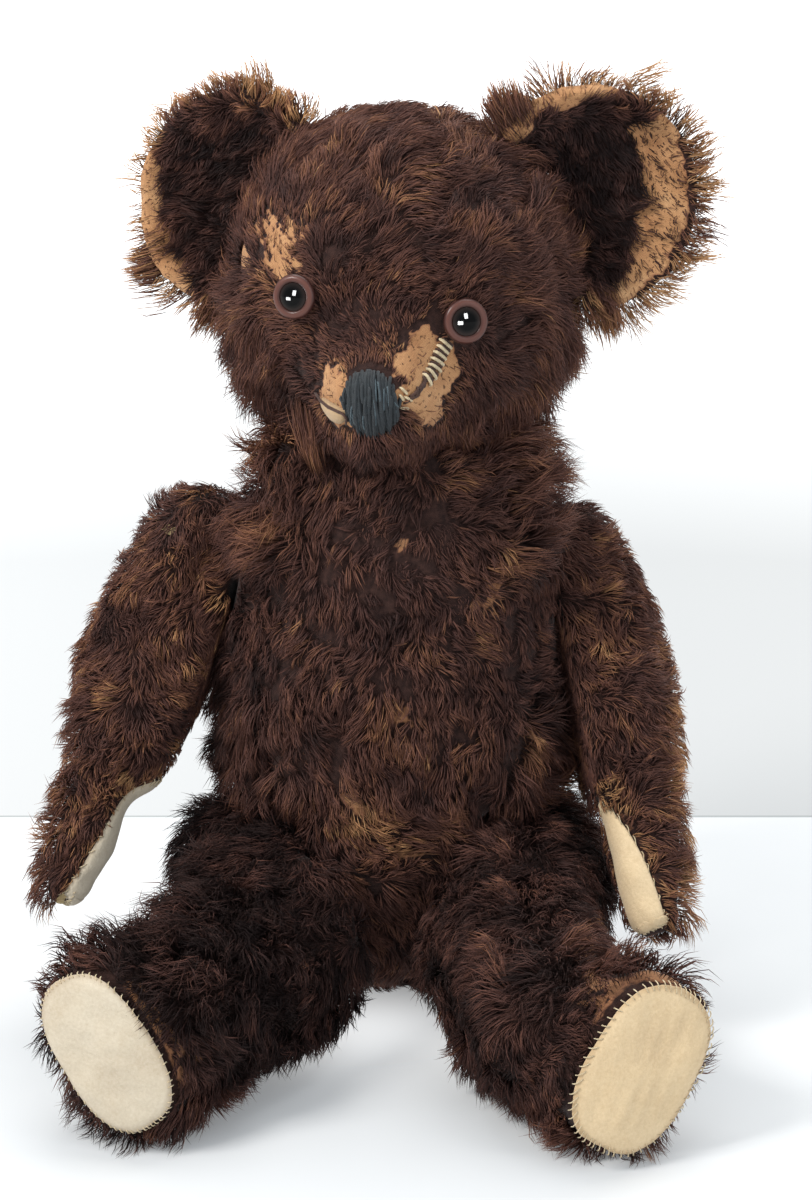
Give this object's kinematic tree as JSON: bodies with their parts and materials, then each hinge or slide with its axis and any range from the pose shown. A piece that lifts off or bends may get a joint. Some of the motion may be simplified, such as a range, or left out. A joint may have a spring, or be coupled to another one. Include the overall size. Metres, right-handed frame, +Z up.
{
  "type": "jointed teddy bear",
  "caption": "Seated mohair teddy bear with disc-jointed head, arms and legs, big cupped ears, domed eyes, a stitched nose and felt paw and foot pads.",
  "frame": {"origin": "centre of the flat seat, on the surface the bear sits on", "axes": "+Z up, the bear faces -Y, +X is towards the bear's left side"},
  "size_m": [0.2427, 0.2357, 0.3405],
  "materials": {
    "mohair": "matte",
    "mohair_worn": "matte",
    "wood_wool": "matte",
    "felt": "matte",
    "nose_thread": "satin",
    "eye_ring": "gloss",
    "eye_pupil": "gloss",
    "nylon": "satin",
    "fibreboard": "matte",
    "steel": "satin"
  },
  "bodies": {
    "torso": {"torso_skin": "mohair", "torso_stuffing": "wood_wool", "neck_torso_disc": "fibreboard", "neck_torso_washer": "steel", "left_shoulder_disc": "fibreboard", "left_shoulder_washer": "steel", "right_shoulder_disc": "fibreboard", "right_shoulder_washer": "steel", "left_hip_disc": "fibreboard", "left_hip_washer": "steel", "right_hip_disc": "fibreboard", "right_hip_washer": "steel"},
    "head": {"head_skin": "mohair", "head_stuffing": "wood_wool", "left_ear_front": "mohair_worn", "left_ear_back": "mohair", "right_ear_front": "mohair_worn", "right_ear_back": "mohair", "left_eye_iris": "eye_ring", "left_eye_pupil": "eye_pupil", "left_eye_lock_washer": "nylon", "right_eye_iris": "eye_ring", "right_eye_pupil": "eye_pupil", "right_eye_lock_washer": "nylon", "nose_stitching": "nose_thread", "neck_head_disc": "fibreboard", "neck_head_washer": "steel", "neck_cotter_pin": "steel"},
    "left_arm": {"left_arm_skin": "mohair", "left_arm_stuffing": "wood_wool", "left_paw_pad": "felt", "left_arm_disc": "fibreboard", "left_arm_washer": "steel", "left_arm_cotter_pin": "steel"},
    "right_arm": {"right_arm_skin": "mohair", "right_arm_stuffing": "wood_wool", "right_paw_pad": "felt", "right_arm_disc": "fibreboard", "right_arm_washer": "steel", "right_arm_cotter_pin": "steel"},
    "left_leg": {"left_leg_skin": "mohair", "left_leg_stuffing": "wood_wool", "left_foot_pad": "felt", "left_leg_disc": "fibreboard", "left_leg_washer": "steel", "left_leg_cotter_pin": "steel"},
    "right_leg": {"right_leg_skin": "mohair", "right_leg_stuffing": "wood_wool", "right_foot_pad": "felt", "right_leg_disc": "fibreboard", "right_leg_washer": "steel", "right_leg_cotter_pin": "steel"}
  },
  "joints": [
    {"name": "neck_turn", "type": "hinge", "parent": "torso", "child": "head", "pos_m": [0, 0, 0.217], "axis": [0.0523, 0, 0.9986], "continuous": true},
    {"name": "left_shoulder_swing", "type": "hinge", "parent": "torso", "child": "left_arm", "pos_m": [0.054, 0, 0.164], "axis": [-0.9698, -0.2061, -0.1305], "range_deg": [-10, 105]},
    {"name": "right_shoulder_swing", "type": "hinge", "parent": "torso", "child": "right_arm", "pos_m": [-0.054, 0, 0.164], "axis": [-0.9354, 0.1988, 0.2924], "range_deg": [-90, 105]},
    {"name": "left_hip_swing", "type": "hinge", "parent": "torso", "child": "left_leg", "pos_m": [0.031, -0.008, 0.042], "axis": [-1, 0, 0], "range_deg": [-105, 3]},
    {"name": "right_hip_swing", "type": "hinge", "parent": "torso", "child": "right_leg", "pos_m": [-0.031, -0.008, 0.042], "axis": [-1, 0, 0], "range_deg": [-105, 3]}
  ]
}
